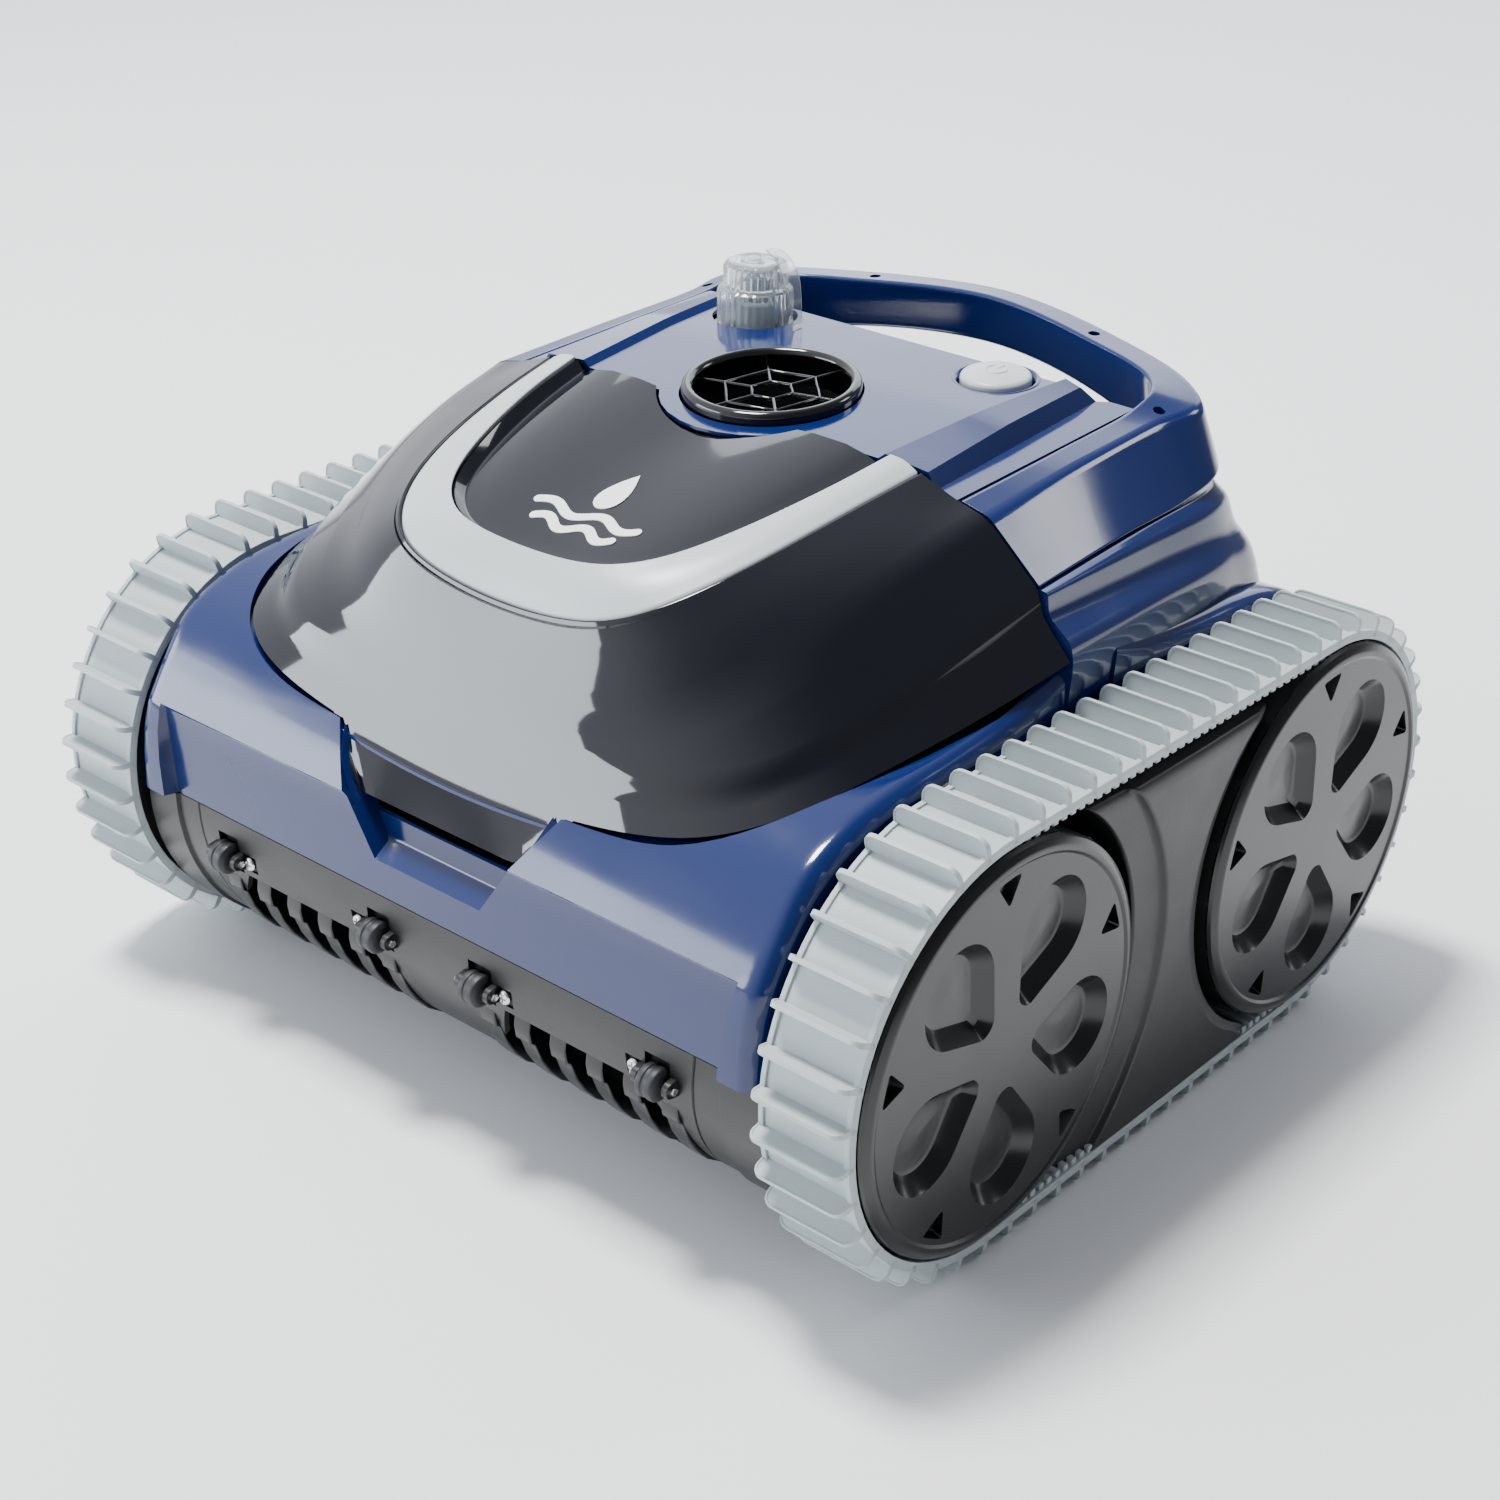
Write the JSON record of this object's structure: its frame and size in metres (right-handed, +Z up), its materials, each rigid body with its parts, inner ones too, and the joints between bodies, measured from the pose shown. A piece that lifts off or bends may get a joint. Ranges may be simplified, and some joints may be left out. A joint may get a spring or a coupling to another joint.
{
  "type": "pool cleaner",
  "caption": "Cordless tracked robot for cleaning pool floors and walls, with a smoked lid over a filter bay, a rear carrying handle and a round water outlet on top.",
  "frame": {"origin": "on the ground, at the centre of the footprint", "axes": "+Z up; the front with the guide rollers faces -Y; X runs across the tracks"},
  "size_m": [0.454, 0.4244, 0.3062],
  "materials": {
    "navy_abs": "high-gloss moulded navy ABS",
    "smoked_cover": "high-gloss smoked cover, nearly black",
    "light_grey_trim": "satin light grey plastic",
    "track_elastomer": "soft light grey elastomer, satin",
    "dark_grey_abs": "semi-matte dark grey plastic",
    "stainless_steel": "stainless steel",
    "clear_cap": "clear moulded polycarbonate",
    "basket_grey": "mid grey plastic and fine mesh",
    "circuit_board": "green board",
    "battery_wrap": "shrink-wrapped battery pack",
    "motor_can": "painted motor can",
    "black_elastomer": "black rubber",
    "black_plastic": "semi-gloss black plastic"
  },
  "bodies": {
    "chassis": {"body_shell": "navy_abs", "top_panel": "navy_abs", "handle_shell": "navy_abs", "lower_hull": "dark_grey_abs", "front_skirt": "dark_grey_abs", "rear_skirt": "dark_grey_abs", "front_comb": "black_plastic", "rear_comb": "black_plastic", "track_left": "track_elastomer", "side_plate_left": "dark_grey_abs", "lid_hinge_pin_left": "stainless_steel", "drive_motor_left": "motor_can", "axle_front_left": "stainless_steel", "axle_rear_left": "stainless_steel", "track_right": "track_elastomer", "side_plate_right": "dark_grey_abs", "lid_hinge_pin_right": "stainless_steel", "drive_motor_right": "motor_can", "axle_front_right": "stainless_steel", "axle_rear_right": "stainless_steel", "roller_pin_1": "stainless_steel", "roller_pin_2": "stainless_steel", "roller_pin_3": "stainless_steel", "roller_pin_4": "stainless_steel", "skirt_screw_1": "stainless_steel", "skirt_screw_2": "stainless_steel", "skirt_screw_3": "stainless_steel", "skirt_screw_4": "stainless_steel", "outlet_grille": "black_plastic", "outlet_duct": "black_plastic", "pump_motor": "motor_can", "button_cup": "navy_abs", "charge_socket": "black_plastic", "cap_strap": "clear_cap", "filter_basket": "basket_grey", "dry_box": "black_plastic", "battery_pack": "battery_wrap", "control_board": "circuit_board"},
    "lid_body": {"lid": "smoked_cover", "lid_trim": "light_grey_trim", "lid_panel": "smoked_cover"},
    "port_cap_body": {"port_cap": "clear_cap"},
    "power_button_body": {"power_button": "light_grey_trim"},
    "impeller_body": {"impeller": "basket_grey"},
    "basket_handle_body": {"basket_handle": "basket_grey"},
    "inlet_flap_body": {"inlet_flap": "black_elastomer"},
    "wheel_front_left_body": {"wheel_front_left": "black_plastic", "wheel_cover_front_left": "black_plastic"},
    "wheel_rear_left_body": {"wheel_rear_left": "black_plastic", "wheel_cover_rear_left": "black_plastic"},
    "wheel_front_right_body": {"wheel_front_right": "black_plastic", "wheel_cover_front_right": "black_plastic"},
    "wheel_rear_right_body": {"wheel_rear_right": "black_plastic", "wheel_cover_rear_right": "black_plastic"},
    "guide_roller_1_body": {"guide_roller_1": "black_elastomer"},
    "guide_roller_2_body": {"guide_roller_2": "black_elastomer"},
    "guide_roller_3_body": {"guide_roller_3": "black_elastomer"},
    "guide_roller_4_body": {"guide_roller_4": "black_elastomer"}
  },
  "joints": [
    {"name": "lid_hinge", "type": "hinge", "parent": "chassis", "child": "lid_body", "pos_m": [0, 0.025, 0.255], "axis": [-1, 0, 0], "range_deg": [0, 60]},
    {"name": "wheel_front_left_spin", "type": "hinge", "parent": "chassis", "child": "wheel_front_left_body", "pos_m": [-0.204, -0.1148, 0.0974], "axis": [-1, 0, 0], "continuous": true},
    {"name": "wheel_rear_left_spin", "type": "hinge", "parent": "chassis", "child": "wheel_rear_left_body", "pos_m": [-0.204, 0.1148, 0.0974], "axis": [-1, 0, 0], "continuous": true},
    {"name": "wheel_front_right_spin", "type": "hinge", "parent": "chassis", "child": "wheel_front_right_body", "pos_m": [0.204, -0.1148, 0.0974], "axis": [-1, 0, 0], "continuous": true},
    {"name": "wheel_rear_right_spin", "type": "hinge", "parent": "chassis", "child": "wheel_rear_right_body", "pos_m": [0.204, 0.1148, 0.0974], "axis": [-1, 0, 0], "continuous": true},
    {"name": "guide_roller_1_spin", "type": "hinge", "parent": "chassis", "child": "guide_roller_1_body", "pos_m": [-0.1259, -0.199, 0.0795], "axis": [-1, 0, 0], "continuous": true},
    {"name": "guide_roller_2_spin", "type": "hinge", "parent": "chassis", "child": "guide_roller_2_body", "pos_m": [-0.0299, -0.199, 0.0795], "axis": [-1, 0, 0], "continuous": true},
    {"name": "guide_roller_3_spin", "type": "hinge", "parent": "chassis", "child": "guide_roller_3_body", "pos_m": [0.0299, -0.199, 0.0795], "axis": [-1, 0, 0], "continuous": true},
    {"name": "guide_roller_4_spin", "type": "hinge", "parent": "chassis", "child": "guide_roller_4_body", "pos_m": [0.1259, -0.199, 0.0795], "axis": [-1, 0, 0], "continuous": true},
    {"name": "power_button_press", "type": "slide", "parent": "chassis", "child": "power_button_body", "axis": [0, 0, -1], "range_m": [0, 0.0015], "stiffness_N_per_m": 900, "springref_m": -0.0005},
    {"name": "port_cap_turn", "type": "hinge", "parent": "chassis", "child": "port_cap_body", "pos_m": [-0.066, 0.075, 0.272], "axis": [0, 0, 1], "range_deg": [0, 90]},
    {"name": "impeller_spin", "type": "hinge", "parent": "chassis", "child": "impeller_body", "pos_m": [0, 0.0097, 0.215], "axis": [0, 0, 1], "continuous": true},
    {"name": "basket_handle_lift", "type": "hinge", "parent": "chassis", "child": "basket_handle_body", "pos_m": [0, -0.084, 0.189], "axis": [1, 0, 0], "range_deg": [0, 80]},
    {"name": "inlet_flap_swing", "type": "hinge", "parent": "chassis", "child": "inlet_flap_body", "pos_m": [0, -0.0885, 0.0663], "axis": [-1, 0, 0], "range_deg": [0, 60]}
  ],
  "couplings": [
    {"joint": "wheel_rear_left_spin", "follows": "wheel_front_left_spin", "ratio": 1},
    {"joint": "wheel_rear_right_spin", "follows": "wheel_front_right_spin", "ratio": 1}
  ]
}
